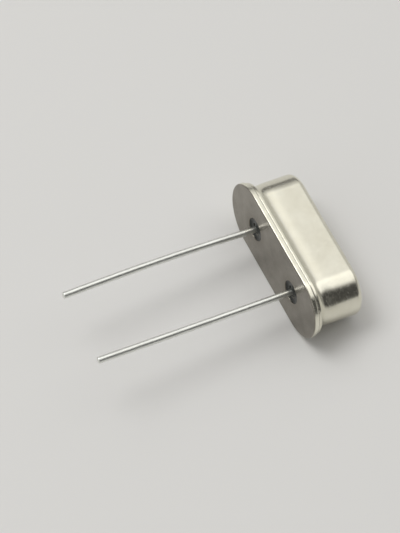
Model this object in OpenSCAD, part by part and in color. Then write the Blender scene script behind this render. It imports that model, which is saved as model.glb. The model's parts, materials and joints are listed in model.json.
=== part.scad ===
// Low-profile quartz crystal in a welded metal can, with two wire leads.
//
// Every sub-part is drawn in the can's own frame: the underside of the base
// plate is the plane z = 0, +Z runs into the can, Y is the long way across it
// and the leads run down -Z. rest() then lays the whole part on its long flat
// side, as it comes to rest on a table: the leads point along -X, the can's top
// faces +X, and the origin is on the table under the middle of the box.

/* [Base plate] */
// Length of the base plate over its round ends
base_length = 11.05; // [10.6:0.05:13]
// Width of the base plate
base_width = 4.65; // [4.4:0.05:5.4]
// Thickness of the base plate's flange
base_flange_thick = 0.35; // [0.25:0.05:0.5]
// Radius on the flange's two outer edges
base_edge_radius = 0.08; // [0.04:0.01:0.1]
// Height of the raised middle above the flange
plateau_height = 0.45; // [0.3:0.05:0.6]
// Gap all round between the raised middle and the cover's wall
plateau_gap = 0.12; // [0.06:0.02:0.3]
// Radius on the upper edge of the raised middle
plateau_edge_radius = 0.1; // [0.05:0.01:0.2]

/* [Cover] */
// Height of the whole can, from the underside of the base plate to the top
can_height = 3.6; // [3.2:0.05:4.5]
// Thickness of the cover's sheet
cover_thick = 0.25; // [0.15:0.01:0.3]
// Distance from the cover's outer wall out to the base plate's edge
flange_reach = 0.425; // [0.36:0.01:0.5]
// Distance that the cover's flange stays back from the base plate's edge
flange_setback = 0.09; // [0.08:0.01:0.12]
// Radius on the outer edges of the cover's flange
flange_edge_radius = 0.06; // [0.03:0.01:0.08]
// Outer radius where the wall turns into the top
cover_corner_radius = 0.35; // [0.32:0.01:0.6]
// Distance that the hollow at the foot of the wall reaches out over the flange
cover_foot_reach = 0.24; // [0.12:0.02:0.26]
// Height above the flange at which the wall starts to curve out
cover_foot_rise = 0.44; // [0.2:0.02:0.8]

/* [Leads and seals] */
// Distance between the two leads
lead_pitch = 4.88; // [4.6:0.02:5.2]
// Diameter of a lead over its tin coat
lead_diameter = 0.43; // [0.41:0.01:0.5]
// Diameter of the bare wire inside the seal
wire_diameter = 0.40; // [0.36:0.01:0.4]
// Length of a lead below the base plate
lead_length = 13.0; // [6:0.5:20]
// Bare wire left between the base plate and the tin coat
bare_length = 0.1; // [0.05:0.05:0.4]
// Length over which the tin coat thins out towards the base plate
tin_feather = 0.6; // [0.55:0.05:1]
// Bevel left by the cutter on the end of a lead
lead_end_bevel = 0.07; // [0.03:0.01:0.12]
// Diameter of the glass seal, which is the hole in the base plate
seal_diameter = 1.5; // [1.2:0.05:1.8]
// Depth of the glass below each face of the base plate, at the hole's rim
seal_recess = 0.05; // [0.02:0.01:0.1]
// Further dip of the glass between the rim and the wire
seal_dish = 0.12; // [0.05:0.01:0.16]
// Height of a lead's head above the raised middle of the base plate
post_height = 0.3; // [0.22:0.02:0.5]
// Diameter of a lead's flattened head
head_diameter = 0.84; // [0.7:0.02:1]
// Thickness of a lead's flattened head
head_thick = 0.12; // [0.08:0.01:0.16]

/* [Crystal and clips] */
// Length of the quartz blank
blank_length = 8.0; // [7.6:0.1:8.4]
// Width of the quartz blank
blank_width = 1.9; // [1.6:0.05:2]
// Thickness of the quartz blank, which sets its frequency
blank_thick = 0.2; // [0.12:0.01:0.3]
// Thickness of an electrode's silver film, drawn heavier than the real one
film_thick = 0.02; // [0.01:0.005:0.03]
// Length of an electrode's middle pad
pad_length = 4.4; // [3:0.1:5]
// Width of an electrode's middle pad
pad_width = 1.5; // [1.2:0.05:1.5]
// Width of an electrode's tail
tail_width = 0.7; // [0.5:0.05:0.9]
// Thickness of a clip's strip
clip_thick = 0.1; // [0.06:0.01:0.12]
// Width of a clip's ledge under the blank
ledge_width = 1.4; // [1.1:0.05:1.5]
// Width of a clip's foot on the lead's head
foot_width = 0.8; // [0.6:0.05:1]
// Height that a clip lifts the ledge above the foot
clip_rise = 0.65; // [0.4:0.05:0.9]
// Length of a clip's sloping leg along the can
leg_run = 0.45; // [0.3:0.05:0.5]
// Height of the lip at the end of a clip, above the ledge
lip_height = 0.4; // [0.3:0.05:0.6]
// Inside radius of each bend in a clip
clip_bend_radius = 0.08; // [0.05:0.01:0.12]
// Gap between the end of the blank and the clip's lip
end_gap = 0.12; // [0.08:0.02:0.2]
// Thickness of the adhesive between the ledge and the blank
bond_line = 0.05; // [0.04:0.01:0.08]
// Radius of a dab of adhesive
dab_radius = 0.42; // [0.3:0.02:0.5]
// Height of a dab above the blank at its middle
dab_crown = 0.14; // [0.1:0.01:0.2]

/* [Hidden] */
$fn = 96;

// Seen from the leads with the part lying at rest, left is +Y and right is -Y
left = 1;
right = -1;
// A cut runs this far past the face that it goes through
past = 0.5;

// The straight run between the round ends is the same for every oblong outline
straight_run = base_length - base_width;
can_half_width = base_width / 2 - flange_reach;
cavity_half_width = can_half_width - cover_thick;
plateau_half_width = cavity_half_width - plateau_gap;
plateau_top = base_flange_thick + plateau_height;
cover_flange_top = base_flange_thick + cover_thick;
cover_flange_half_width = base_width / 2 - flange_setback;
// The foot's hollow ends before the rounding of the flange's edge
foot_room = flange_reach - flange_setback - flange_edge_radius;
foot_reach = min(cover_foot_reach, foot_room);

wire_radius = wire_diameter / 2;
lead_radius = lead_diameter / 2;
seal_radius = seal_diameter / 2;
head_top = plateau_top + post_height;

// Heights inside the can
ledge_top = head_top + clip_rise + clip_thick;
blank_bottom = ledge_top + bond_line;
blank_top = blank_bottom + blank_thick;
blank_end = blank_length / 2;

// Resting pose: the base plate's long edge and the far corner of the cover both
// touch the table. Each is a rounding, given by the centre of its circle.
edge_x = base_width / 2 - base_edge_radius;
edge_z = base_flange_thick - base_edge_radius;
corner_x = can_half_width - cover_corner_radius;
corner_z = can_height - cover_corner_radius;
contact_drop = edge_x - corner_x;
contact_span = corner_z - edge_z;
contact_distance = sqrt(contact_drop * contact_drop + contact_span * contact_span);
rest_tilt = atan2(contact_drop, contact_span)
    - asin((cover_corner_radius - base_edge_radius) / contact_distance);
rest_height = edge_x * cos(rest_tilt) + edge_z * sin(rest_tilt) + base_edge_radius;
leads_reach = lead_length * cos(rest_tilt) + (lead_radius - lead_end_bevel) * sin(rest_tilt);
cover_reach = corner_z * cos(rest_tilt) + corner_x * sin(rest_tilt) + cover_corner_radius;
rest_shift = (leads_reach - cover_reach) / 2;

// Lays a sub-part on the table with the rest of the part
module rest() {
    translate([rest_shift, 0, rest_height]) rotate([0, 90 + rest_tilt, 0]) children();
}

// Carries a profile round the oblong outline. The profile's x is the distance
// out from the middle line, and its y is the height.
module round_the_oblong() {
    for (turn = [0, 180]) rotate([0, 0, turn]) {
        translate([0, straight_run / 2, 0]) rotate_extrude(angle = 180) children();
        rotate([90, 0, 0]) linear_extrude(height = straight_run, center = true) children();
    }
}

// Half section of a slab from the middle line out to reach, from low to high,
// with its outer corners rounded
module slab_profile(reach, low, high, low_radius, high_radius) {
    difference() {
        translate([0, low]) square([reach, high - low]);
        if (low_radius > 0) corner_waste(reach, low, low_radius, -1);
        if (high_radius > 0) corner_waste(reach, high, high_radius, 1);
    }
}

// What a rounding takes off the corner at [reach, level]; up is 1 for an upper
// corner and -1 for a lower one
module corner_waste(reach, level, radius, up) {
    translate([reach, level]) scale([1, up]) difference() {
        translate([-radius, -radius]) square(2 * radius);
        translate([-radius, -radius]) circle(radius);
    }
}

module base_plate() {
    color([0.66, 0.64, 0.58]) difference() {
        round_the_oblong() {
            slab_profile(base_width / 2, 0, base_flange_thick, base_edge_radius, base_edge_radius);
            slab_profile(plateau_half_width, 0, plateau_top, 0, plateau_edge_radius);
        }
        for (side = [left, right])
            translate([0, side * lead_pitch / 2, -past])
                cylinder(r = seal_radius, h = plateau_top + 2 * past);
    }
}

// Drawn from one sheet: the top, the wall and a flange that is welded to the
// base plate's flange, with one sheet thickness all the way
module cover() {
    color([0.87, 0.85, 0.78]) difference() {
        round_the_oblong() {
            slab_profile(can_half_width, base_flange_thick, can_height, 0, cover_corner_radius);
            slab_profile(cover_flange_half_width, base_flange_thick, cover_flange_top,
                flange_edge_radius, flange_edge_radius);
            cover_foot(can_half_width, cover_flange_top, foot_reach, cover_foot_rise);
        }
        round_the_oblong() {
            slab_profile(cavity_half_width, base_flange_thick - past, can_height - cover_thick,
                0, cover_corner_radius - cover_thick);
            cover_foot(cavity_half_width, base_flange_thick,
                foot_reach + cover_thick, cover_foot_rise + cover_thick);
        }
    }
}

// What fills the corner between a wall at half_width and a flange face at level:
// its hollow side is a quarter ellipse, reach wide and rise high
module cover_foot(half_width, level, reach, rise) {
    steps = 14;
    polygon(concat([[0, level], [0, level + rise]],
        [for (i = [0:steps]) let (angle = 180 + 90 * i / steps)
            [half_width + reach * (1 + cos(angle)), level + rise * (1 + sin(angle))]]));
}

// A glass bead round the wire, flush with neither face and dished at both ends
module glass_seal(side) {
    seal_bottom = seal_recess;
    seal_top = plateau_top - seal_recess;
    bead_width = seal_radius - wire_radius;
    dish_radius = bead_width * bead_width / (8 * seal_dish) + seal_dish / 2;
    color([0.16, 0.19, 0.17]) translate([0, side * lead_pitch / 2, 0])
        rotate_extrude() difference() {
            translate([wire_radius, seal_bottom]) square([bead_width, seal_top - seal_bottom]);
            for (end = [[seal_bottom, -1], [seal_top, 1]])
                translate([wire_radius + bead_width / 2,
                           end[0] + end[1] * (dish_radius - seal_dish)])
                    circle(dish_radius);
        }
}

// One wire: flattened head in the can, bare through the glass, then tinned
module lead(side) {
    tin_start = bare_length + tin_feather;
    color([0.8, 0.8, 0.78]) translate([0, side * lead_pitch / 2, 0])
        rotate_extrude() polygon([
            [0, head_top],
            [head_diameter / 2, head_top],
            [head_diameter / 2, head_top - head_thick],
            [wire_radius, head_top - head_thick],
            [wire_radius, -bare_length],
            [lead_radius, -tin_start],
            [lead_radius, lead_end_bevel - lead_length],
            [lead_radius - lead_end_bevel, -lead_length],
            [0, -lead_length]
        ]);
}

// Points of a round bend at corner, from heading turn_from to heading turn_to
// in degrees; offset is how far the edge lies to the left of the middle line
function bend(corner, turn_from, turn_to, radius, offset) =
    let (turn = turn_to - turn_from,
         setback = radius * tan(abs(turn) / 2),
         hand = sign(turn),
         start = corner - setback * [cos(turn_from), sin(turn_from)],
         centre = start + hand * radius * [-sin(turn_from), cos(turn_from)],
         steps = 5)
    [for (i = [0:steps])
        let (heading = turn_from + turn * i / steps)
        centre - (hand * radius - offset) * [-sin(heading), cos(heading)]];

// A clip is a bent strip: foot on the lead's head, sloping leg, ledge and lip
module clip(side) {
    middle_radius = clip_bend_radius + clip_thick / 2;
    foot_level = head_top + clip_thick / 2;
    ledge_level = ledge_top - clip_thick / 2;
    foot_start = lead_pitch / 2 - head_diameter / 2;
    leg_start = lead_pitch / 2 + head_diameter / 2;
    lip_middle = blank_end + end_gap + clip_thick / 2;
    leg_heading = atan2(clip_rise, leg_run);
    leg_end = leg_start + leg_run;
    function edge(offset) = concat(
        [[foot_start, foot_level + offset]],
        bend([leg_start, foot_level], 0, leg_heading, middle_radius, offset),
        bend([leg_end, ledge_level], leg_heading, 0, middle_radius, offset),
        bend([lip_middle, ledge_level], 0, 90, middle_radius, offset),
        [[lip_middle - offset, ledge_top + lip_height]]);
    upper_edge = edge(clip_thick / 2);
    lower_edge = edge(-clip_thick / 2);
    last = len(lower_edge) - 1;
    color([0.72, 0.68, 0.55]) turn_to_side(side) intersection() {
        rotate([90, 0, 90]) linear_extrude(height = ledge_width, center = true)
            polygon(concat(upper_edge, [for (i = [last:-1:0]) lower_edge[i]]));
        translate([0, 0, head_top - past])
            linear_extrude(height = can_height) clip_outline(foot_start, leg_end, lip_middle);
    }
}

// Plan of a clip: a narrow foot that widens along the leg into the ledge
module clip_outline(foot_start, leg_end, lip_middle) {
    widening = ledge_width / 2 - foot_width / 2;
    polygon([
        [-foot_width / 2, foot_start], [foot_width / 2, foot_start],
        [foot_width / 2, leg_end - widening], [ledge_width / 2, leg_end],
        [ledge_width / 2, lip_middle + clip_thick], [-ledge_width / 2, lip_middle + clip_thick],
        [-ledge_width / 2, leg_end], [-foot_width / 2, leg_end - widening]
    ]);
}

// Turns a piece drawn on the +Y side to the side it belongs to
module turn_to_side(side) {
    rotate([0, 0, side == left ? 0 : 180]) children();
}

module quartz_blank() {
    color([0.85, 0.87, 0.86]) translate([-blank_width / 2, -blank_end, blank_bottom])
        cube([blank_width, blank_length, blank_thick]);
}

// A film with a middle pad and a tail that runs to one end of the blank
module electrode(level, tail_side) {
    color([0.9, 0.9, 0.88]) translate([0, 0, level]) turn_to_side(tail_side)
        linear_extrude(height = film_thick) {
            square([pad_width, pad_length], center = true);
            translate([-tail_width / 2, 0]) square([tail_width, blank_end]);
        }
}

module electrode_base_side() {
    electrode(blank_bottom - film_thick, right);
}

module electrode_cover_side() {
    electrode(blank_top, left);
}

// A domed dab that bonds the end of the blank to the ledge and wraps its end
module adhesive(side) {
    dab_top = blank_top + dab_crown;
    dome_radius = 2 * dab_radius;
    color([0.6, 0.58, 0.52]) difference() {
        translate([0, side * (blank_end + end_gap - dab_radius), 0])
            rotate_extrude() intersection() {
                translate([0, ledge_top]) square([dab_radius, dab_top - ledge_top]);
                translate([0, dab_top - dome_radius]) circle(dome_radius);
            }
        clip(side);
        quartz_blank();
        electrode_base_side();
        electrode_cover_side();
    }
}

rest() base_plate();
rest() cover();
rest() glass_seal(left);  // glass_seal_left
rest() glass_seal(right);  // glass_seal_right
rest() lead(left);  // lead_left
rest() lead(right);  // lead_right
rest() clip(left);  // clip_left
rest() clip(right);  // clip_right
rest() quartz_blank();
rest() electrode_base_side();
rest() electrode_cover_side();
rest() adhesive(left);  // adhesive_left
rest() adhesive(right);  // adhesive_right
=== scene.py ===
"""Dresses the low-profile quartz crystal: nickel can, base plate, glass seals and tinned leads.

The part lies on its long flat side. Shapes are worked out in the can's own frame, in
millimetres: z = 0 is the underside of the base plate, +z runs into the can, y is the long
way across it and the leads run down -z. can_to_row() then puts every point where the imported
part has it, from the place and direction of the base plate's seat.
"""

import json
import math

import bmesh
import bpy
import numpy as np
from mathutils import Matrix, Vector


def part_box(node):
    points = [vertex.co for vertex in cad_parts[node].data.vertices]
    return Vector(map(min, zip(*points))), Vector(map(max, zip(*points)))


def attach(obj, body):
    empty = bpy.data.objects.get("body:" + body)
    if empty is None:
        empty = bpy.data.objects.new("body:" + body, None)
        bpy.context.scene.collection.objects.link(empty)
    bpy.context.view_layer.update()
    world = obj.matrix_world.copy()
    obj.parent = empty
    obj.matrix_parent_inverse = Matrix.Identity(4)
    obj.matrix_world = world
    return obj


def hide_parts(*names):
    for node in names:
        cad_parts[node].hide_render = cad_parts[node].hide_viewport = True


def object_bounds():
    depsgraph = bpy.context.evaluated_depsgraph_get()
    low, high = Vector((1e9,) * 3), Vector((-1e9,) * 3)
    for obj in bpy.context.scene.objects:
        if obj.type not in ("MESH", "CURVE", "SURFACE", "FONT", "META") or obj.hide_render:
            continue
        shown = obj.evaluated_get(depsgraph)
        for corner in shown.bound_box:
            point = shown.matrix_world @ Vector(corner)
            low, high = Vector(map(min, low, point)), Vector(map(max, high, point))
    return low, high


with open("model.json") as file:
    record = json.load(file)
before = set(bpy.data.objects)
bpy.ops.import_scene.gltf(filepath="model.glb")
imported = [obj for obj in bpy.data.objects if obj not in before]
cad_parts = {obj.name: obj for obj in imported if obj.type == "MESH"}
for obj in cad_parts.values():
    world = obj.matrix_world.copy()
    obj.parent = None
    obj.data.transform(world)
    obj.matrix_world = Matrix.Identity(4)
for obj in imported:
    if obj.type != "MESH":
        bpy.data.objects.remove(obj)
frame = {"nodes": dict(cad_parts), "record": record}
cad_low, cad_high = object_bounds()

MM = 0.001

# Base plate, in millimetres
BASE_WIDTH = 4.65
BASE_FLANGE_THICK = 0.35
BASE_EDGE_RADIUS = 0.08
PLATEAU_TOP = 0.80
PLATEAU_EDGE_RADIUS = 0.10
PLATEAU_GAP = 0.12

# Cover
CAN_HEIGHT = 3.6
COVER_THICK = 0.25
FLANGE_REACH = 0.425
FLANGE_SETBACK = 0.09
FLANGE_EDGE_RADIUS = 0.06
COVER_CORNER_RADIUS = 0.35
FOOT_REACH = 0.24
FOOT_RISE = 0.44
NECK_DEPTH = 0.034
NECK_SPREAD = 0.40

# Glass seals
SEAL_RADIUS = 0.75
SEAL_RECESS = 0.05
SEAL_DISH = 0.12
RIM_BEVEL = 0.03

# Leads
WIRE_RADIUS = 0.20
LEAD_LENGTH = 13.0
BARE_LENGTH = 0.1
TIN_FEATHER = 0.6
LEAD_END_BEVEL = 0.07
HEAD_RADIUS = 0.42
HEAD_THICK = 0.12
HEAD_TOP = 1.10

# Marks of making and handling, in millimetres and radians.
# Hollows: seed, count, greatest depth, usual reach.
# Wavers of the flange edges: half depth, rate along y, size and rate of the wander in it.
# Ripples of the tin: pitch, half height. The bow starts within a share of the lead's length.
COVER_HOLLOWS = ((11, 26, 0.010, 1.1), (12, 60, 0.004, 0.35))
COVER_EDGE_WAVER = (0.006, 5.1, 2.0, 2.3)
BASE_EDGE_WAVER = (0.005, 4.3, 1.7, 3.1)
TIN_RIPPLES = ((3.1, 0.0022), (1.3, 0.0016), (0.55, 0.0010))
BOW_EASE = 0.07

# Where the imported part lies, and what its own sizes follow from
mounts = {mount["name"]: mount for mount in frame["record"]["mounts"]}
SEAT_POINT = np.array(mounts["seat"]["pos_m"])
SEAT_NORMAL = np.array(mounts["seat"]["axis"])
HALF_PITCH = mounts["lead_left"]["pos_m"][1] / MM
LEAD_RADIUS = mounts["lead_left"]["dims"]["r_mm"]
base_low, base_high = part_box("base_plate")
STRAIGHT_RUN = (base_high.y - base_low.y) / MM - BASE_WIDTH
CAN_HALF_WIDTH = BASE_WIDTH / 2 - FLANGE_REACH
CAVITY_HALF_WIDTH = CAN_HALF_WIDTH - COVER_THICK
COVER_FLANGE_HALF_WIDTH = BASE_WIDTH / 2 - FLANGE_SETBACK
COVER_FLANGE_TOP = BASE_FLANGE_THICK + COVER_THICK
PLATEAU_HALF_WIDTH = CAVITY_HALF_WIDTH - PLATEAU_GAP

UP_THE_CAN = -SEAT_NORMAL / np.linalg.norm(SEAT_NORMAL)
ALONG_THE_CAN = np.array([0.0, 1.0, 0.0])
ACROSS_THE_CAN = np.cross(ALONG_THE_CAN, UP_THE_CAN)
CAN_AXES = np.stack([ACROSS_THE_CAN, ALONG_THE_CAN, UP_THE_CAN])


def can_to_row(points):
    """Points of the can's frame in millimetres, turned and moved to the row frame in metres."""
    return SEAT_POINT + MM * points @ CAN_AXES


# ---------------------------------------------------------------- grids and profiles


def run(start, end, count):
    """Points on the straight line from start to end, without the last. They crowd towards
    both ends as the cosine does, so that the rounding next to a flat doesn't tilt it."""
    share = (1 - np.cos(np.pi * np.arange(count) / count)) / 2
    return np.array(start) + share[:, None] * (np.array(end) - np.array(start))


def arc(centre, radius, start, end, count):
    """Points of a circle about centre from the angle start to end in degrees, without the last."""
    angle = np.radians(start + (end - start) * np.arange(count) / count)
    return np.array(centre) + radius * np.stack([np.cos(angle), np.sin(angle)], 1)


def foot_curve(wall, ground, reach, rise, start, end, count):
    """Points of the quarter ellipse that joins a wall, at a height rise above the ground, to
    the ground at a distance reach from the wall. They run from the angle start to end in
    degrees, 180 at the wall and 270 on the ground, without the last."""
    angle = np.radians(start + (end - start) * np.arange(count) / count)
    return np.stack([wall + reach * (1 + np.cos(angle)), ground + rise * (1 + np.sin(angle))], 1)


def profile_normals(profile):
    """Unit normals of a profile of (distance out, height): its tangent, by central
    differences, turned a quarter turn to the left."""
    tangent = np.gradient(profile, axis=0)
    tangent /= np.linalg.norm(tangent, axis=1, keepdims=True)
    return np.stack([-tangent[:, 1], tangent[:, 0]], 1)


def grid_faces(rows, columns, close_columns=True):
    """Quads of a grid whose points are numbered row by row; the last column joins the first
    where close_columns is true."""
    row, column = np.mgrid[0 : rows - 1, 0 : columns if close_columns else columns - 1]
    following = (column + 1) % columns
    corners = [row * columns + column, row * columns + following]
    corners += [(row + 1) * columns + following, (row + 1) * columns + column]
    return np.stack([c.ravel() for c in corners], 1)


def soft_dents(points, seed, count, depth, reach, low, high):
    """Depth at each point of count round hollows, each a bell curve of its distance, with
    centres drawn inside the box from low to high and depths up to depth."""
    draw = np.random.default_rng(seed)
    centres = draw.uniform(low, high, (count, 3))
    depths = depth * draw.uniform(0.25, 1.0, count)
    reaches = reach * draw.uniform(0.5, 1.4, count)
    total = np.zeros(len(points))
    for centre, deep, wide in zip(centres, depths, reaches):
        distance = np.linalg.norm(points - centre, axis=1)
        total += deep * np.exp(-((distance / wide) ** 2))
    return total


def edge_waver(along, half_depth, rate, wander, wander_rate):
    """Depth of an uneven edge at each place along it, from nothing to twice the half depth:
    one plus a sine, whose argument a second sine shifts to and fro."""
    return half_depth * (1 + np.sin(along * rate + wander * np.sin(along * wander_rate)))


def make_piece(name, parts, material, replaces):
    """One closed mesh from parts, which are (points in the can's frame, faces). Points that
    meet are merged, which closes the seams and poles, and faces are turned outwards."""
    points, faces, start = [], [], 0
    for part_points, part_faces in parts:
        points.append(part_points)
        faces.append(part_faces + start)
        start += len(part_points)
    mesh = bpy.data.meshes.new(name)
    mesh.from_pydata(can_to_row(np.concatenate(points)), [], np.concatenate(faces).tolist())
    work = bmesh.new()
    work.from_mesh(mesh)
    bmesh.ops.remove_doubles(work, verts=work.verts, dist=2e-7)
    bmesh.ops.recalc_face_normals(work, faces=work.faces)
    work.to_mesh(mesh)
    work.free()
    mesh.polygons.foreach_set("use_smooth", np.ones(len(mesh.polygons), bool))
    mesh.set_sharp_from_angle(angle=math.radians(40))
    mesh.materials.append(material)
    piece = bpy.data.objects.new(name, mesh)
    bpy.context.scene.collection.objects.link(piece)
    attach(piece, "root")
    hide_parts(*replaces)
    return piece


# ---------------------------------------------------------------- oblong outline

STRAIGHT_STEPS = 64
ROUND_STEPS = 96


def oblong_ring():
    """The oblong outline, counter-clockwise from the start of the +x side. Gives for each
    point the y of the middle line that it stands out from, and its outward direction: two
    straight runs, where that y slides along, and two half circles, where it rests."""
    half = STRAIGHT_RUN / 2
    slide = -half + STRAIGHT_RUN * np.arange(STRAIGHT_STEPS) / STRAIGHT_STEPS
    turn = np.pi * np.arange(ROUND_STEPS) / ROUND_STEPS
    middle = [slide, np.full(ROUND_STEPS, half), -slide, np.full(ROUND_STEPS, -half)]
    angle = [np.zeros(STRAIGHT_STEPS), turn, np.full(STRAIGHT_STEPS, np.pi), turn + np.pi]
    angle = np.concatenate(angle)
    return np.concatenate(middle), np.stack([np.cos(angle), np.sin(angle)], 1)


RING_MIDDLE, RING_OUT = oblong_ring()


def round_the_oblong(profile):
    """Carries a profile of (distance out, height) round the oblong: each point stands out
    from the middle line by its distance, in the ring's outward direction. Gives the points,
    their outward normals and the faces."""
    normals = profile_normals(profile)
    rows, columns = len(profile), len(RING_MIDDLE)
    points = np.zeros((rows, columns, 3))
    points[:, :, :2] = profile[:, 0, None, None] * RING_OUT
    points[:, :, 1] += RING_MIDDLE
    points[:, :, 2] = profile[:, 1, None]
    outward = np.zeros((rows, columns, 3))
    outward[:, :, :2] = normals[:, 0, None, None] * RING_OUT
    outward[:, :, 2] = normals[:, 1, None]
    return points.reshape(-1, 3), outward.reshape(-1, 3), grid_faces(rows, columns)


# ---------------------------------------------------------------- cover


def cover_outside_profile():
    """From the middle of the top, over the corner, down the wall, round the hollow foot and
    out along the flange to its lower edge."""
    wall, corner, edge = CAN_HALF_WIDTH, COVER_CORNER_RADIUS, FLANGE_EDGE_RADIUS
    reach, top, joint = COVER_FLANGE_HALF_WIDTH, COVER_FLANGE_TOP, BASE_FLANGE_THICK
    return np.concatenate([
        run((0, CAN_HEIGHT), (wall - corner, CAN_HEIGHT), 22),
        arc((wall - corner, CAN_HEIGHT - corner), corner, 90, 0, 14),
        run((wall, CAN_HEIGHT - corner), (wall, top + FOOT_RISE), 30),
        foot_curve(wall, top, FOOT_REACH, FOOT_RISE, 180, 270, 16),
        run((wall + FOOT_REACH, top), (reach - edge, top), 2),
        arc((reach - edge, top - edge), edge, 90, 0, 7),
        run((reach, top - edge), (reach, joint + edge), 6),
        arc((reach - edge, joint + edge), edge, 0, -90, 7),
    ])


def cover_inside_profile():
    """From the flange's lower edge, in under the flange, up round the foot and the wall to
    the middle of the top's inner face."""
    wall, joint = CAVITY_HALF_WIDTH, BASE_FLANGE_THICK
    reach, rise = FOOT_REACH + COVER_THICK, FOOT_RISE + COVER_THICK
    corner = COVER_CORNER_RADIUS - COVER_THICK
    ceiling = CAN_HEIGHT - COVER_THICK
    return np.concatenate([
        run((COVER_FLANGE_HALF_WIDTH - FLANGE_EDGE_RADIUS, joint), (wall + reach, joint), 3),
        foot_curve(wall, joint, reach, rise, 270, 180, 12),
        run((wall, joint + rise), (wall, ceiling - corner), 12),
        arc((wall - corner, ceiling - corner), corner, 0, 90, 6),
        run((wall - corner, ceiling), (0, ceiling), 8),
        [(0, ceiling)],
    ])


def make_cover():
    """The drawn cover: its outside and inside profiles, carried round the oblong as one
    closed sheet. The shown side moves inwards along its normals by three depths: a bell
    curve of the height above the foot, where the wall draws in, a few shallow hollows, as in
    thin sheet tumbled with others, and past the wall the waver of the trimmed flange."""
    outside = cover_outside_profile()
    profile = np.concatenate([outside, cover_inside_profile()])
    points, outward, faces = round_the_oblong(profile)
    shown = np.repeat(np.arange(len(profile)) < len(outside), len(RING_MIDDLE))
    reach = (CAN_HALF_WIDTH, STRAIGHT_RUN / 2 + CAN_HALF_WIDTH)
    low = (-reach[0], -reach[1], COVER_FLANGE_TOP)
    high = (reach[0], reach[1], CAN_HEIGHT)
    hollows = np.zeros(len(points))
    for seed, count, depth, wide in COVER_HOLLOWS:
        hollows += soft_dents(points, seed, count, depth, wide, low, high)
    above_foot = (points[:, 2] - COVER_FLANGE_TOP - FOOT_RISE) / NECK_SPREAD
    hollows += NECK_DEPTH * np.exp(-(above_foot**2))
    past_wall = np.clip((np.abs(points[:, 0]) - CAN_HALF_WIDTH) / FLANGE_REACH, 0, 1)
    waver = edge_waver(points[:, 1], *COVER_EDGE_WAVER)
    points -= outward * (shown * (hollows + waver * past_wall))[:, None]
    return make_piece("cover_shell", [(points, faces)], nickel_cover(), ["cover"])


# ---------------------------------------------------------------- base plate


def half_outline(reach, side):
    """Outline of the half of an oblong on one side of y = 0, closed by the line y = 0: the
    ring's points on that side at a distance reach, then evenly spaced points back."""
    columns = len(RING_MIDDLE)
    start = STRAIGHT_STEPS // 2 if side > 0 else STRAIGHT_STEPS // 2 + columns // 2
    order = (start + np.arange(columns // 2 + 1)) % columns
    ring = reach * RING_OUT[order]
    ring[:, 1] += RING_MIDDLE[order]
    ring[[0, -1], 1] = 0
    steps = 30
    back = ring[-1] + (ring[0] - ring[-1]) * (np.arange(1, steps) / steps)[:, None]
    return np.concatenate([ring, back])


def half_plate(side):
    """The plate's two faces and its bore on one side of y = 0, as one grid. A point of a
    face lies on the straight line from the bore's rim to the half outline, as seen from the
    bore's middle, and the bore is a bevel, a cylinder and a bevel."""
    middle = np.array([0.0, side * HALF_PITCH])
    under = half_outline(BASE_WIDTH / 2 - BASE_EDGE_RADIUS, side)
    over = half_outline(PLATEAU_HALF_WIDTH - PLATEAU_EDGE_RADIUS, side)
    shares = (1 - np.cos(np.pi * np.linspace(0, 1, 26))) / 2
    bevel = arc((RIM_BEVEL, 0), RIM_BEVEL, 90, 180, 6)
    bore = [(r, RIM_BEVEL - z) for r, z in bevel] + [(0.0, RIM_BEVEL)]
    bore_low = [(SEAL_RADIUS + r, z) for r, z in bore]
    bore_high = [(r, PLATEAU_TOP - z) for r, z in reversed(bore_low)]

    def rim(outline):
        away = outline - middle
        return away / np.linalg.norm(away, axis=1, keepdims=True)

    rows = []
    toward_under, toward_over = rim(under), rim(over)
    rim_radius = SEAL_RADIUS + RIM_BEVEL
    for share in shares[::-1][:-1]:
        inner = middle + rim_radius * toward_under
        rows.append(np.c_[inner + share * (under - inner), np.zeros(len(under))])
    for radius, height in bore_low:
        rows.append(np.c_[middle + radius * toward_under, np.full(len(under), height)])
    for radius, height in bore_high:
        rows.append(np.c_[middle + radius * toward_over, np.full(len(over), height)])
    for share in shares[1:]:
        inner = middle + rim_radius * toward_over
        rows.append(np.c_[inner + share * (over - inner), np.full(len(over), PLATEAU_TOP)])
    return np.concatenate(rows), grid_faces(len(rows), len(under))


def base_band_profile():
    """The plate's edge: from the top of its raised middle down to the flange, out over the
    flange and round the flange's two edges to the underside."""
    half, edge, top = BASE_WIDTH / 2, BASE_EDGE_RADIUS, BASE_FLANGE_THICK
    raised, soft = PLATEAU_HALF_WIDTH, PLATEAU_EDGE_RADIUS
    return np.concatenate([
        arc((raised - soft, PLATEAU_TOP - soft), soft, 90, 0, 5),
        run((raised, PLATEAU_TOP - soft), (raised, top), 6),
        run((raised, top), (half - edge, top), 10),
        arc((half - edge, top - edge), edge, 90, 0, 9),
        run((half, top - edge), (half, edge), 7),
        arc((half - edge, edge), edge, 0, -90, 9),
        [(half - edge, 0)],
    ])


def make_base_plate():
    """The plate: two half grids with a bore each, closed round the edge by the carried
    profile. The flange's sheared edge wavers inwards by a few thousandths, and the row on
    the underside stays, because it meets the half grids."""
    points, outward, faces = round_the_oblong(base_band_profile())
    on_flange = (points[:, 2] > 0) & (points[:, 2] < BASE_FLANGE_THICK)
    on_flange = on_flange * np.linalg.norm(outward[:, :2], axis=1)
    waver = edge_waver(points[:, 1], *BASE_EDGE_WAVER)
    points -= outward * (on_flange * waver)[:, None]
    parts = [(points, faces), half_plate(1), half_plate(-1)]
    return make_piece("base_header", parts, nickel_base(), ["base_plate"])


# ---------------------------------------------------------------- turned pieces

TURN_STEPS = 72


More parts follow.
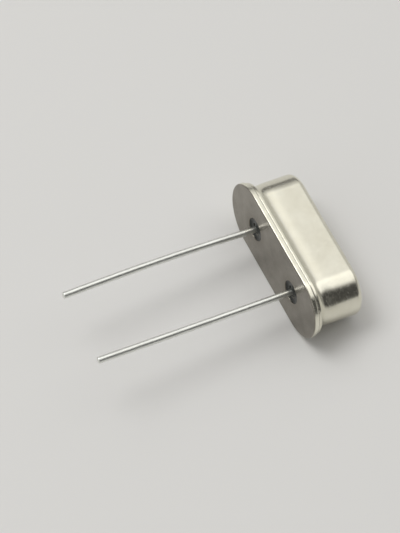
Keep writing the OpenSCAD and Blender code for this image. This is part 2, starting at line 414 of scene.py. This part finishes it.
def turn_round(profile, side, middle_line=None):
    """Turns a profile of (radius, height) about a seal's axis. middle_line gives, for an
    array of heights, how far the axis itself stands aside there."""
    angle = 2 * np.pi * np.arange(TURN_STEPS) / TURN_STEPS
    circle = np.stack([np.cos(angle), np.sin(angle)], 1)
    points = np.zeros((len(profile), TURN_STEPS, 3))
    points[:, :, :2] = profile[:, 0, None, None] * circle
    points[:, :, 1] += side * HALF_PITCH
    points[:, :, 2] = profile[:, 1, None]
    if middle_line is not None:
        points[:, :, :2] += middle_line(profile[:, 1])[:, None, :]
    return points.reshape(-1, 3), grid_faces(len(profile), TURN_STEPS)


def seal_profile():
    """Half section of a glass bead: along the wire, over the upper dish to the bore, down it
    and back over the lower dish. Each dish is an arc through both rims, whose radius follows
    from its width and its depth."""
    low, high = SEAL_RECESS, PLATEAU_TOP - SEAL_RECESS
    width = SEAL_RADIUS - WIRE_RADIUS
    radius = width**2 / (8 * SEAL_DISH) + SEAL_DISH / 2
    lean = math.degrees(math.asin(width / 2 / radius))
    middle = WIRE_RADIUS + width / 2
    return np.concatenate([
        run((WIRE_RADIUS, low), (WIRE_RADIUS, high), 6),
        arc((middle, high + radius - SEAL_DISH), radius, -90 - lean, -90 + lean, 16),
        run((SEAL_RADIUS, high), (SEAL_RADIUS, low), 6),
        arc((middle, low - radius + SEAL_DISH), radius, 90 - lean, 90 + lean, 16),
        [(WIRE_RADIUS, low)],
    ])


def make_seal(name, side):
    """One glass bead in its bore, turned from its half section."""
    bead = turn_round(seal_profile(), side)
    return make_piece(name + "_bead", [bead], seal_glass(), [name])


def lead_profile():
    """Half section of a lead from the middle of its head to the cut end: flat head, bare
    wire, a cone where the tin feathers out, the tinned length and a rounded end."""
    feather_end = -BARE_LENGTH - TIN_FEATHER
    end = LEAD_END_BEVEL
    below_head = HEAD_TOP - HEAD_THICK
    return np.concatenate([
        run((0, HEAD_TOP), (HEAD_RADIUS, HEAD_TOP), 8),
        run((HEAD_RADIUS, HEAD_TOP), (HEAD_RADIUS, below_head), 4),
        run((HEAD_RADIUS, below_head), (WIRE_RADIUS, below_head), 5),
        run((WIRE_RADIUS, below_head), (WIRE_RADIUS, -BARE_LENGTH), 8),
        run((WIRE_RADIUS, -BARE_LENGTH), (LEAD_RADIUS, feather_end), 10),
        np.c_[np.full(240, LEAD_RADIUS), np.linspace(feather_end, end - LEAD_LENGTH, 240, False)],
        arc((LEAD_RADIUS - end, end - LEAD_LENGTH), end, 0, -90, 7),
        run((LEAD_RADIUS - end, -LEAD_LENGTH), (0, -LEAD_LENGTH), 5),
        [(0, -LEAD_LENGTH)],
    ])


def make_lead(name, side, bow, seed):
    """One lead. The tin lies unevenly, so the radius ripples by a few thousandths along the
    tinned length: three sines of different pitch. The wire stands aside from its straight
    line by the bow, given across and along the can, times the sine of half a turn over its
    length, eased in at the glass."""
    profile = lead_profile()
    draw = np.random.default_rng(seed)
    below = np.clip(-profile[:, 1] - BARE_LENGTH - TIN_FEATHER, 0, None)
    tinned = np.clip(below / TIN_FEATHER, 0, 1) * (profile[:, 0] > 0)
    ripple = np.zeros(len(profile))
    for pitch, height in TIN_RIPPLES:
        ripple += height * (np.sin(2 * np.pi * (below / pitch + draw.random())) - 1)
    profile[:, 0] = np.maximum(profile[:, 0] + tinned * ripple, 0)

    def middle_line(height):
        share = np.clip(-height / LEAD_LENGTH, 0, 1)
        eased = 1 - np.exp(-((share / BOW_EASE) ** 2))
        return np.array(bow) * (np.sin(np.pi * share) * eased)[:, None]

    points, faces = turn_round(profile, side, middle_line)
    return make_piece(name + "_wire", [(points, faces)], tinned_wire(), [name])


# ---------------------------------------------------------------- materials


def add(tree, kind, inputs=None, **settings):
    """A shader node with its settings; each input is a number, a colour or another node's
    output, which is linked."""
    node = tree.nodes.new(kind)
    for key, value in settings.items():
        setattr(node, key, value)
    for key, value in (inputs or {}).items():
        if isinstance(value, bpy.types.NodeSocket):
            tree.links.new(value, node.inputs[key])
        else:
            node.inputs[key].default_value = value
    return node


def new_material(name):
    """A material and its empty node tree."""
    material = bpy.data.materials.new(name)
    material.use_nodes = True
    tree = material.node_tree
    tree.nodes.clear()
    return material, tree


def can_coordinates(tree):
    """Object coordinates turned into the can's frame, in millimetres."""
    turned = Matrix(CAN_AXES.tolist()).transposed().to_euler()
    place = add(tree, "ShaderNodeTexCoord").outputs["Object"]
    mapping = add(tree, "ShaderNodeMapping", {
        "Vector": place,
        "Location": SEAT_POINT.tolist(),
        "Rotation": turned,
        "Scale": (MM, MM, MM),
    }, vector_type="TEXTURE")
    return mapping.outputs["Vector"]


def stretched(tree, vector, scale):
    """The same place with each axis scaled, so that a pattern on it is drawn out."""
    return add(tree, "ShaderNodeMapping", {"Vector": vector, "Scale": scale}).outputs["Vector"]


def noise(tree, vector, scale, detail=3.0, roughness=0.5):
    """A cloudy pattern about 0.5. In the can's frame its scale is lumps per millimetre."""
    node = add(tree, "ShaderNodeTexNoise", {
        "Vector": vector, "Scale": scale, "Detail": detail, "Roughness": roughness})
    return node.outputs["Fac"]


def remap(tree, value, low, high, to_low, to_high, kind="LINEAR"):
    """The value's stretch from low to high laid over to_low to to_high, held at its ends."""
    node = add(tree, "ShaderNodeMapRange", {
        "Value": value, "From Min": low, "From Max": high, "To Min": to_low, "To Max": to_high,
    }, interpolation_type=kind)
    return node.outputs["Result"]


def mix_colours(tree, share, first, second):
    """The first colour, with a share of the second over it. Several sockets of this node
    have the same name, so they are given by their places."""
    node = add(tree, "ShaderNodeMix", {0: share, 6: first, 7: second}, data_type="RGBA")
    return node.outputs[2]


def two_tones(tree, pattern, low, high, first, second):
    """A colour that goes from the first to the second as the pattern goes from low to high."""
    return mix_colours(tree, remap(tree, pattern, low, high, 0.0, 1.0), first, second)


def combine(tree, first, second, operation="ADD"):
    """Two values joined by one step of arithmetic, their sum if no other is named."""
    node = add(tree, "ShaderNodeMath", {0: first, 1: second}, operation=operation)
    return node.outputs[0]


def near_height(tree, height, level, full, gone, share):
    """A share that is full within one distance of a level and nil past a wider one."""
    away = combine(tree, combine(tree, height, level, "SUBTRACT"), 0.0, "ABSOLUTE")
    return remap(tree, away, full, gone, share, 0.0, "SMOOTHSTEP")


def finish(tree, looks, height=None, relief=0.0):
    """Ends a material with its surface, from the looks: what goes into the shader's sockets.
    A height pattern of 0 to 1 stands out by the relief, in millimetres."""
    shader = add(tree, "ShaderNodeBsdfPrincipled", looks)
    if height is not None:
        bump = add(tree, "ShaderNodeBump", {
            "Height": height, "Strength": 1.0, "Distance": relief * MM})
        tree.links.new(bump.outputs["Normal"], shader.inputs["Normal"])
    out = add(tree, "ShaderNodeOutputMaterial")
    tree.links.new(shader.outputs[0], out.inputs["Surface"])


def finish_metal(tree, colour, roughness, height, relief):
    """Ends a material as bare metal."""
    looks = {"Base Color": colour, "Roughness": roughness, "Metallic": 1.0}
    finish(tree, looks, height, relief)


def scratches(tree, vector, turn, scale, width):
    """Thin straight marks: the narrow band where a noise, stretched a long way along one
    direction, crosses its middle value."""
    turned = add(tree, "ShaderNodeMapping", {"Vector": vector, "Rotation": turn}).outputs["Vector"]
    long_noise = noise(tree, stretched(tree, turned, scale), 1.0, 2.0)
    off_middle = combine(tree, long_noise, 0.5, "SUBTRACT")
    away = combine(tree, off_middle, 0.0, "ABSOLUTE")
    return remap(tree, away, 0.0, width, 1.0, 0.0)


def with_joint_shade(tree, height, colour):
    """The colour, with painted shade over it: a dark line along the joint of the two flanges, where the
    groove between them is shaded.
    """
    # Painted shade along the joint of the flanges.
    joint_shade = near_height(tree, height, BASE_FLANGE_THICK, 0.020, 0.045, 0.75)
    return mix_colours(tree, joint_shade, colour, (0.10, 0.09, 0.07, 1))


def nickel_cover():
    """Satin nickel on the drawn cover: warm white, fine drawing lines up the wall, faint
    smudges in the gloss, a few hairline marks, painted shade tinted olive in the hollow of
    the foot, and painted shade along the joint of the two flanges."""
    material, tree = new_material("nickel_cover")
    place = can_coordinates(tree)
    height = add(tree, "ShaderNodeSeparateXYZ", {"Vector": place}).outputs["Z"]
    cloud = noise(tree, place, 0.9, 4.0)
    spots = noise(tree, place, 5.5, 5.0, 0.6)
    colour = two_tones(tree, cloud, 0.3, 0.7, (0.81, 0.79, 0.68, 1), (0.75, 0.725, 0.61, 1))
    # Painted shade: the hollow of the foot, above the flange, is darkened towards olive.
    foot_shade = near_height(tree, height, COVER_FLANGE_TOP + 0.12, 0.08, 0.30, 0.15)
    colour = mix_colours(tree, foot_shade, colour, (0.42, 0.40, 0.27, 1))
    colour = with_joint_shade(tree, height, colour)
    colour = mix_colours(tree, remap(tree, spots, 0.62, 0.75, 0.0, 0.25), colour,
                         (0.55, 0.53, 0.43, 1))
    marks = scratches(tree, place, (0.3, 0.2, 0.7), (0.25, 9.0, 9.0), 0.008)
    roughness = remap(tree, spots, 0.3, 0.7, 0.17, 0.25)
    roughness = combine(tree, roughness, combine(tree, marks, 0.12, "MULTIPLY"))
    grain = noise(tree, place, 42.0, 2.0)
    drawn = noise(tree, stretched(tree, place, (30.0, 30.0, 1.2)), 1.0, 2.0)
    relief = combine(tree, combine(tree, grain, 0.5, "MULTIPLY"), combine(tree, drawn, 0.5, "MULTIPLY"))
    relief = combine(tree, relief, combine(tree, marks, -0.8, "MULTIPLY"))
    finish_metal(tree, colour, roughness, relief, 0.0007)
    return material


def nickel_base():
    """Nickel on the base plate. Its underside is darker and browner than the cover: painted
    shade, a shaded copy of the nickel. It has a darker stain round each bead, and a bright sheared
    edge."""
    material, tree = new_material("nickel_base")
    place = can_coordinates(tree)
    axes = add(tree, "ShaderNodeSeparateXYZ", {"Vector": place})
    height = axes.outputs["Z"]
    cloud = noise(tree, place, 1.1, 4.0)
    spots = noise(tree, place, 7.0, 4.0, 0.6)
    # Painted shade: the underside's nickel is made darker and browner, as a dark reflection would make
    # it.
    face = two_tones(tree, cloud, 0.3, 0.7, (0.30, 0.28, 0.245, 1), (0.23, 0.213, 0.18, 1))
    aside = combine(tree, combine(tree, axes.outputs["Y"], 0.0, "ABSOLUTE"), HALF_PITCH, "SUBTRACT")
    from_bead = add(tree, "ShaderNodeCombineXYZ", {"X": axes.outputs["X"], "Y": aside})
    away = add(tree, "ShaderNodeVectorMath", {0: from_bead.outputs[0]}, operation="LENGTH")
    stain = combine(tree, away.outputs["Value"], remap(tree, cloud, 0.3, 0.7, -0.2, 0.2))
    face = mix_colours(tree, remap(tree, stain, SEAL_RADIUS, 1.45, 0.55, 0.0, "SMOOTHSTEP"), face,
                       (0.17, 0.15, 0.12, 1))
    # Above the underside the plate keeps the cover's bright nickel; the painted shade stays on the
    # underside.
    edge = remap(tree, height, 0.02, BASE_EDGE_RADIUS, 0.0, 1.0)
    colour = mix_colours(tree, edge, face, (0.83, 0.81, 0.69, 1))
    colour = with_joint_shade(tree, height, colour)
    marks = scratches(tree, place, (0.2, 0.1, -0.5), (9.0, 0.3, 9.0), 0.008)
    roughness = remap(tree, spots, 0.3, 0.7, 0.20, 0.28)
    roughness = combine(tree, roughness, combine(tree, marks, 0.15, "MULTIPLY"))
    grain = noise(tree, place, 24.0, 3.0)
    relief = combine(tree, grain, combine(tree, marks, -0.8, "MULTIPLY"))
    finish_metal(tree, colour, roughness, relief, 0.0004)
    return material


def tinned_wire():
    """Dipped tin: pale grey, streaked along the wire, with small soft pits."""
    material, tree = new_material("tinned_wire")
    place = can_coordinates(tree)
    streak = noise(tree, stretched(tree, place, (9.0, 9.0, 0.8)), 1.0, 3.0)
    pits = noise(tree, place, 14.0, 3.0, 0.6)
    colour = two_tones(tree, streak, 0.35, 0.65, (0.85, 0.86, 0.82, 1), (0.75, 0.76, 0.72, 1))
    roughness = remap(tree, pits, 0.3, 0.7, 0.28, 0.44)
    relief = combine(tree, streak, combine(tree, pits, 0.6, "MULTIPLY"))
    finish_metal(tree, colour, roughness, relief, 0.004)
    return material


def seal_glass():
    """Dark fused glass: near black with a green cast, glossy, with faint bubbles under it."""
    material, tree = new_material("seal_glass")
    place = can_coordinates(tree)
    bubbles = noise(tree, place, 16.0, 2.0)
    black, greenish = (0.006, 0.008, 0.006, 1), (0.022, 0.026, 0.020, 1)
    colour = two_tones(tree, bubbles, 0.45, 0.75, black, greenish)
    swell = noise(tree, place, 4.0, 2.0)
    finish(tree, {"Base Color": colour, "Roughness": 0.06, "IOR": 1.52}, swell, 0.012)
    return material


def spring_strip():
    """Rolled copper-nickel strip of the clips, with fine lines along the roll."""
    material, tree = new_material("spring_strip")
    place = can_coordinates(tree)
    cloud = noise(tree, place, 1.6, 3.0)
    lines = noise(tree, stretched(tree, place, (60.0, 2.0, 60.0)), 1.0, 2.0)
    colour = two_tones(tree, cloud, 0.35, 0.65, (0.58, 0.50, 0.36, 1), (0.50, 0.42, 0.30, 1))
    roughness = remap(tree, lines, 0.3, 0.7, 0.24, 0.36)
    finish_metal(tree, colour, roughness, lines, 0.0006)
    return material


def lapped_quartz():
    """Lapped quartz: clear, with a frosted surface that is finer in places."""
    material, tree = new_material("lapped_quartz")
    place = can_coordinates(tree)
    frost = noise(tree, place, 30.0, 4.0, 0.6)
    colour = two_tones(tree, frost, 0.3, 0.7, (0.90, 0.92, 0.91, 1), (0.82, 0.84, 0.83, 1))
    roughness = remap(tree, frost, 0.3, 0.7, 0.30, 0.45)
    looks = {"Base Color": colour, "Roughness": roughness, "IOR": 1.54, "Transmission Weight": 0.7}
    finish(tree, looks, frost, 0.001)
    return material


def silver_film():
    """Silver laid on the quartz from vapour: bright, cloudy where it takes up the frost."""
    material, tree = new_material("silver_film")
    place = can_coordinates(tree)
    cloud = noise(tree, place, 2.2, 4.0)
    frost = noise(tree, place, 30.0, 4.0, 0.6)
    colour = two_tones(tree, cloud, 0.35, 0.65, (0.92, 0.91, 0.88, 1), (0.85, 0.83, 0.77, 1))
    finish_metal(tree, colour, remap(tree, frost, 0.3, 0.7, 0.18, 0.32), frost, 0.0008)
    return material


def silver_adhesive():
    """Cured resin full of silver flakes: dull warm grey, with flakes that glint."""
    material, tree = new_material("silver_adhesive")
    place = can_coordinates(tree)
    lumps = noise(tree, place, 9.0, 3.0)
    flakes = noise(tree, place, 55.0, 1.0)
    glint = remap(tree, flakes, 0.55, 0.65, 0.0, 0.9)
    colour = mix_colours(tree, glint, (0.36, 0.34, 0.29, 1), (0.72, 0.70, 0.65, 1))
    relief = combine(tree, lumps, combine(tree, flakes, 0.3, "MULTIPLY"))
    roughness = remap(tree, lumps, 0.3, 0.7, 0.42, 0.62)
    finish(tree, {"Base Color": colour, "Metallic": glint, "Roughness": roughness}, relief, 0.02)
    return material


def dress_inner_pieces():
    """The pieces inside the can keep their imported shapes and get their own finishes."""
    for material, names in (
        (spring_strip(), ["clip_left", "clip_right"]),
        (lapped_quartz(), ["quartz_blank"]),
        (silver_film(), ["electrode_base_side", "electrode_cover_side"]),
        (silver_adhesive(), ["adhesive_left", "adhesive_right"]),
    ):
        for name in names:
            for place in frame["nodes"][name].material_slots:
                place.material = material


# ---------------------------------------------------------------- stage, lights, camera


TABLE_HALF_WIDTH = 0.6


def make_floor():
    """A plain pale table top."""
    material, tree = new_material("pale_table")
    finish(tree, {"Base Color": (0.66, 0.655, 0.64, 1), "Roughness": 0.7})
    mesh = bpy.data.meshes.new("table_top")
    half = TABLE_HALF_WIDTH
    corners = [(-half, -half, 0), (half, -half, 0), (half, half, 0), (-half, half, 0)]
    mesh.from_pydata(corners, [], [(0, 1, 2, 3)])
    mesh.materials.append(material)
    floor = bpy.data.objects.new("table_top", mesh)
    bpy.context.scene.collection.objects.link(floor)


# Soft patches of light in the room. Each has its direction, the angle past which it is gone
# and the angle within which it is full, in degrees, and its strength.
LIGHT_PATCHES = (
    ((0.10, 0.50, 0.86), 35, 5, 1.02),
    ((0.15, 0.80, 0.57), 46, 18, 0.14),
    ((0.42, 0.74, 0.52), 18, 6, 0.32),
    ((0.58, -0.04, 0.81), 29, 9, 1.20),
    ((-0.80, 0.15, 0.60), 80, 25, 0.54),
    ((0.84, 0.38, 0.39), 32, 17, 0.53),
    ((0.90, -0.38, 0.12), 36, 12, 0.26),
    ((-0.12, -0.86, 0.50), 27, 8, 0.30),
)
ROOM_LEVEL = 0.05
HAZE_LEVEL = 0.68


def make_world():
    """A dim room with soft patches of light: two bright ones overhead, a broad one over the
    leads, and weaker ones lower down on the other sides, which the can's walls mirror. A
    thin pale haze lies along the edge of the table."""
    world = bpy.data.worlds.new("studio")
    bpy.context.scene.world = world
    world.use_nodes = True
    tree = world.node_tree
    tree.nodes.clear()
    way = add(tree, "ShaderNodeTexCoord").outputs["Generated"]
    level = ROOM_LEVEL
    for direction, gone, full, strength in LIGHT_PATCHES:
        toward = add(tree, "ShaderNodeVectorMath", {0: way, 1: Vector(direction).normalized()},
                     operation="DOT_PRODUCT").outputs["Value"]
        start, end = math.cos(math.radians(gone)), math.cos(math.radians(full))
        patch = remap(tree, toward, start, end, 0.0, strength, "SMOOTHSTEP")
        level = combine(tree, patch, level)
    height = add(tree, "ShaderNodeSeparateXYZ", {"Vector": way}).outputs["Z"]
    haze = near_height(tree, height, 0.0, 0.030, 0.060, HAZE_LEVEL)
    level = combine(tree, level, haze, "MAXIMUM")
    background = add(tree, "ShaderNodeBackground", {
        "Color": (1.0, 0.99, 0.97, 1), "Strength": level})
    out = add(tree, "ShaderNodeOutputWorld")
    tree.links.new(background.outputs[0], out.inputs["Surface"])


def make_softbox(name, direction, distance, size, power):
    """A square area light that hangs in a direction from the part and faces it."""
    light = bpy.data.lights.new(name, "AREA")
    light.shape = "SQUARE"
    light.size = size
    light.energy = power
    lamp = bpy.data.objects.new(name, light)
    away = Vector(direction).normalized()
    lamp.location = (cad_low + cad_high) / 2 + distance * away
    lamp.rotation_mode = "QUATERNION"
    lamp.rotation_quaternion = away.to_track_quat("Z", "Y")
    bpy.context.scene.collection.objects.link(lamp)


CAMERA_AZIMUTH = -26.0
CAMERA_ELEVATION = 60.5
CAMERA_DISTANCE = 0.2
CAMERA_LENS = 222.0
CAMERA_AIM = (0.0004, 0.0016, 0.0)


def make_camera():
    """Looks steeply down on the part from the -y side and a little round towards the tips of
    the leads, at the middle of the part's box moved by the aim."""
    camera = bpy.data.cameras.new("camera")
    camera.lens = CAMERA_LENS
    camera.clip_start = 0.001
    camera.clip_end = 5.0
    azimuth, elevation = math.radians(CAMERA_AZIMUTH), math.radians(CAMERA_ELEVATION)
    level = math.cos(elevation)
    back = Vector((math.sin(azimuth) * level, -math.cos(azimuth) * level, math.sin(elevation)))
    viewer = bpy.data.objects.new("camera", camera)
    viewer.location = (cad_low + cad_high) / 2 + Vector(CAMERA_AIM) + CAMERA_DISTANCE * back
    viewer.rotation_mode = "QUATERNION"
    viewer.rotation_quaternion = back.to_track_quat("Z", "Y")
    bpy.context.scene.collection.objects.link(viewer)
    bpy.context.scene.camera = viewer


bpy.context.scene.view_settings.view_transform = "Standard"
make_camera()
make_floor()
make_world()
make_softbox("window_light", (-0.30, 0.34, 0.89), 0.4, 0.19, 0.60)

make_cover()
make_base_plate()
make_seal("glass_seal_left", 1)
make_seal("glass_seal_right", -1)
make_lead("lead_left", 1, (-0.06, 0.09), 5)
make_lead("lead_right", -1, (-0.02, -0.02), 6)
dress_inner_pieces()
